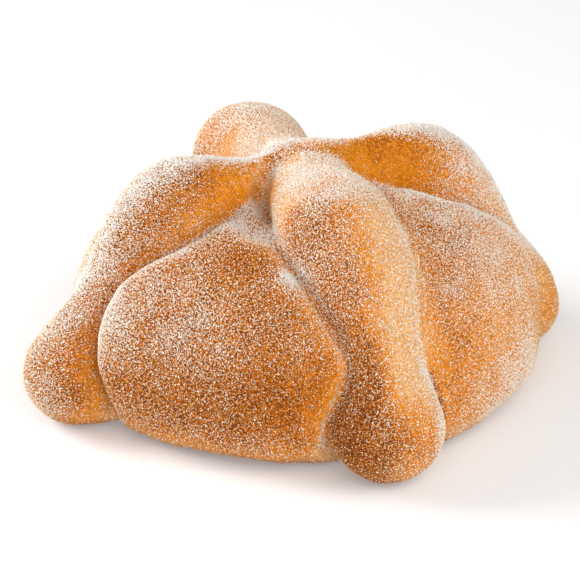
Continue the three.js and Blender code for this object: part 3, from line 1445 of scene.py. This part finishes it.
@dataclass
class SugarDusting:
    """The sugar that sticks to the bread, as loose grains on its crust."""

    kinds: tuple[GrainKind, ...] = (
        GrainKind("sugar_cubes", GrainHabit.BLOCK, (0.123, 0.113, 0.113), 12500, 1.8, 0.0,
                  SugarFinish("sugar_white", (0.98, 0.94, 0.90, 1.0), 0.30, 0.4)),
        GrainKind("sugar_chips", GrainHabit.SPLINTER, (0.174, 0.164, 0.174), 31000, 1.6, 0.0,
                  SugarFinish("sugar_bright", (0.97, 0.91, 0.85, 1.0), 0.25, 0.4)),
        GrainKind("sugar_shards", GrainHabit.SHARD, (0.184, 0.174, 0.184), 46500, 1.2, 0.0,
                  SugarFinish("sugar_clear", (0.95, 0.86, 0.76, 1.0), 0.20, 0.2)),
        GrainKind("sugar_slivers", GrainHabit.SHARD, (0.205, 0.164, 0.174), 46000, 0.85, 0.8,
                  SugarFinish("sugar_damp", (0.87, 0.60, 0.34, 1.0), 0.35, 0.1)),
        GrainKind("sugar_fines", GrainHabit.SHARD, (0.175, 0.165, 0.175), 45000, 0.3, 1.0,
                  SugarFinish("sugar_soaked", (0.74, 0.34, 0.06, 1.0), 0.45, 0.1)),
    )
    seed: int = 11
    heaps: tuple[Heap, ...] = (
        Heap(-15.8, -33.5, 42.8, 2.8, 1.0),  # clump beside the front knob
        Heap(-17.0, -17.0, 44.0, 6.5, 0.38),  # drift in the hollow
        Heap(-24.0, -26.0, 46.0, 8.0, -0.26),  # bared crest of the left front panel
        Heap(-12.0, 3.0, 54.6, 8.0, 0.5),  # ridge of the left neck
        Heap(16.0, -5.0, 51.5, 8.0, -0.3),  # bared front of the right neck
        Heap(-10.5, -7.0, 50.0, 4.5, -0.6),  # bared crease beside the crossing
    )
    panels: PanelSugar = PanelSugar()
    crosswise: CrosswiseSugar = CrosswiseSugar()
    lengthwise: LengthwiseSugar = LengthwiseSugar()
    back_loss: float = 0.6
    back_facing: Range = (0.2, 0.8)
    seam: float = 0.55
    drifts: Ripple = Ripple(wavelength=8.0, depth=0.09, waves=20, seed=21)
    clumps: Ripple = Ripple(wavelength=2.6, depth=0.13, waves=24, seed=22)
    clump_height: Range = (30.0, 42.0)
    thinnest: float = 0.02
    underside_facing: Range = (-0.95, -0.45)
    glare: float = 1.9
    frosting: float = 1.6
    pile: float = 0.35
    way_step: float = 0.2
    lowest: float = 0.5
    pieces: list[bpy.types.Object] = field(default_factory=list)

    def cover(self, lie: Lie) -> Array:
        """How much of the crust sugar hides at each point.

        Args:
            lie: How the points lie on the bread.

        Returns:
            Shares from 0 to 1.
        """
        share = (1.0 - lie.on_strip) * self.panels.at(lie)
        share += lie.on_crosswise * self.crosswise.at(lie) + lie.on_lengthwise * self.lengthwise.at(lie)
        share *= 1.0 - self.back_loss * smooth_step(lie.back, *self.back_facing)
        share = np.maximum(share, self.seam * lie.seam)
        for heap in self.heaps:
            share += heap.share(lie.points)
        share *= 1.0 + self.drifts.height(lie.points)
        clumped = lie.on_crosswise * smooth_step(lie.height, *self.clump_height)
        share *= 1.0 + clumped * self.clumps.height(lie.points)
        share = np.clip(share, self.thinnest, 1.0) * smooth_step(lie.up, *self.underside_facing)
        return share / (self.glare - (self.glare - 1.0) * share)

    def frost(self, lie: Lie) -> Array:
        """How far fine dust whitens the crust at each point, closed where it is above 1."""
        return self.frosting * self.cover(lie)

    def build(self, crust: Crust) -> None:
        """Strews the grains over the crust by how thickly sugar lies there.

        Args:
            crust: The crust that they lie on.
        """
        lie = crust.lie
        cover = self.cover(lie)
        triangles = np.vstack([crust.quads[:, [0, 1, 2]], crust.quads[:, [0, 2, 3]]])
        corners = lie.points[triangles].astype(float)
        first, second = corners[:, 1] - corners[:, 0], corners[:, 2] - corners[:, 0]
        area = 0.5 * np.linalg.norm(np.cross(first, second), axis=1)
        way = winding_way(corners.mean(1), self.way_step)
        draw = np.random.default_rng(self.seed)
        for kind in self.kinds:
            thickness = cover**kind.gathering * (1.0 - cover) ** kind.crowding
            weight = area * thickness[triangles].mean(1)
            laid = np.cumsum(weight[way]) * (kind.grains / weight.sum()) + draw.uniform()
            count = np.diff(np.floor(laid), prepend=0.0).astype(int)
            chosen = np.repeat(way, count)
            mix = draw.dirichlet((1.0, 1.0, 1.0), len(chosen))
            places = (corners[chosen] * mix[..., None]).sum(1)
            normals = unit((lie.normals[triangles[chosen]] * mix[..., None]).sum(1))
            lift = draw.uniform(0.0, self.pile, len(chosen)) * (cover[triangles[chosen]].mean(1) ** 2)
            keep = places[:, 2] > self.lowest
            vertices, faces = kind.mesh(places[keep], normals[keep], lift[keep], draw)
            vertices[:, 2] = np.maximum(vertices[:, 2], 0.0)
            self.pieces.append(make_mesh(kind.name, vertices, faces))

    def dress(self) -> None:
        """Gives each kind of grain its finish and lays it on the bread."""
        for kind, piece in zip(self.kinds, self.pieces, strict=True):
            piece.data.materials.append(kind.finish.material())
            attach(piece, BODY)


@dataclass(frozen=True)
class Softbox:
    """A large soft lamp, placed round the bread like the camera is, in metres and watts."""

    name: str
    azimuth_deg: float
    elevation_deg: float
    power: float
    colour: tuple[float, float, float] = (1.0, 1.0, 1.0)
    distance: float = 0.7
    size: float = 0.5


def round_place(azimuth_deg: float, elevation_deg: float, distance: float) -> Vector:
    """A place round the bread.

    Args:
        azimuth_deg: Turn about +Z, 0 in front of the bread and growing to its right.
        elevation_deg: Height above the horizon.
        distance: How far from the origin.

    Returns:
        The place, in the unit of distance.
    """
    azimuth, elevation = math.radians(azimuth_deg), math.radians(elevation_deg)
    flat = math.cos(elevation)
    way = Vector((math.sin(azimuth) * flat, -math.cos(azimuth) * flat, math.sin(elevation)))
    return way * distance


@dataclass(frozen=True)
class Studio:
    """The pale floor, the soft lamps and the camera, in metres where no other unit is named."""

    lamps: tuple[Softbox, ...] = (
        Softbox("left_back_box", -126.0, 27.0, 6.0),
        Softbox("front_box", -20.0, 30.0, 1.9),
        Softbox("right_front_box", 20.0, 40.0, 1.5, WARM_WHITE),
        Softbox("right_box", 52.0, 35.0, 1.0, WARM_WHITE),
    )
    sky: float = 0.3
    camera_azimuth_deg: float = -21.5
    camera_elevation_deg: float = 28.0
    camera_distance: float = 0.9
    pixel: float = 0.0002315
    aim_right: float = -0.0030
    aim_up: float = 0.01866
    sensor_mm: float = 36.0
    floor_size: float = 6.0
    floor_drop_mm: float = 0.05
    floor_colour: Colour = (0.75, 0.75, 0.75, 1.0)
    floor_roughness: float = 0.9
    floor_glow: float = 0.2

    def build(self) -> None:
        """Places floor, lamps, sky and camera."""
        self._floor()
        for lamp in self.lamps:
            self._lamp(lamp)
        self._sky()
        self._camera()

    def _floor(self) -> None:
        """Lays a pale floor that gives a little light of its own, as a light table does."""
        half = self.floor_size / MM / 2.0
        ways = ((-1.0, -1.0), (1.0, -1.0), (1.0, 1.0), (-1.0, 1.0))
        corners = np.array([(x * half, y * half, -self.floor_drop_mm) for x, y in ways])
        floor = make_mesh("floor", corners, np.array([[0, 1, 2, 3]]))
        board = NodeBoard("floor_finish")
        inputs = {
            "Base Color": self.floor_colour,
            "Roughness": self.floor_roughness,
            "Emission Color": WHITE,
            "Emission Strength": self.floor_glow,
        }
        floor.data.materials.append(board.finish(board.node("ShaderNodeBsdfPrincipled", inputs)))

    @staticmethod
    def _lamp(lamp: Softbox) -> None:
        """Hangs one lamp, turned to the bread.

        Args:
            lamp: The lamp's place, size and light.
        """
        data = bpy.data.lights.new(lamp.name, "AREA")
        data.shape = "DISK"
        data.size = lamp.size
        data.energy = lamp.power
        data.color = lamp.colour
        hung = bpy.data.objects.new(lamp.name, data)
        hung.location = round_place(lamp.azimuth_deg, lamp.elevation_deg, lamp.distance)
        hung.rotation_euler = hung.location.to_track_quat("Z", "Y").to_euler()
        bpy.context.scene.collection.objects.link(hung)

    def _sky(self) -> None:
        """Fills the studio with even white light."""
        world = bpy.data.worlds.new("studio")
        world.use_nodes = True
        background = world.node_tree.nodes["Background"]
        background.inputs["Color"].default_value = WHITE
        background.inputs["Strength"].default_value = self.sky
        bpy.context.scene.world = world
        bpy.context.scene.view_settings.view_transform = "Standard"
        bpy.context.scene.view_settings.look = "None"

    def _camera(self) -> None:
        """Sets the camera where the photograph was taken from."""
        data = bpy.data.cameras.new("camera")
        data.sensor_width = self.sensor_mm
        data.lens = self.sensor_mm * self.camera_distance / (FRAME_PIXELS * self.pixel)
        camera = bpy.data.objects.new("camera", data)
        place = round_place(self.camera_azimuth_deg, self.camera_elevation_deg, self.camera_distance)
        right = round_place(self.camera_azimuth_deg + 90.0, 0.0, 1.0)
        up = place.normalized().cross(right)
        aim = right * self.aim_right + up * self.aim_up
        camera.location = place
        camera.rotation_euler = (place - aim).to_track_quat("Z", "Y").to_euler()
        bpy.context.scene.collection.objects.link(camera)
        bpy.context.scene.camera = camera


def reported(pieces: list[bpy.types.Object]) -> Iterator[str]:
    """Says what each piece is made of.

    Args:
        pieces: The pieces.

    Yields:
        One line a piece.
    """
    for piece in pieces:
        piece.data.calc_loop_triangles()
        yield f"{piece.name}: {len(piece.data.loop_triangles)} triangles"


def main() -> None:
    """Builds the crust, the sugar and the studio."""
    logging.basicConfig(level=logging.INFO, format="%(message)s")
    crust = Crust(BreadForm())
    crust.build()
    dusting = SugarDusting()
    crust.dress(dusting)
    dusting.build(crust)
    dusting.dress()
    for line in reported([crust.piece, *dusting.pieces]):
        log.info(line)
    Studio().build()


if __name__ == "__main__":
    main()
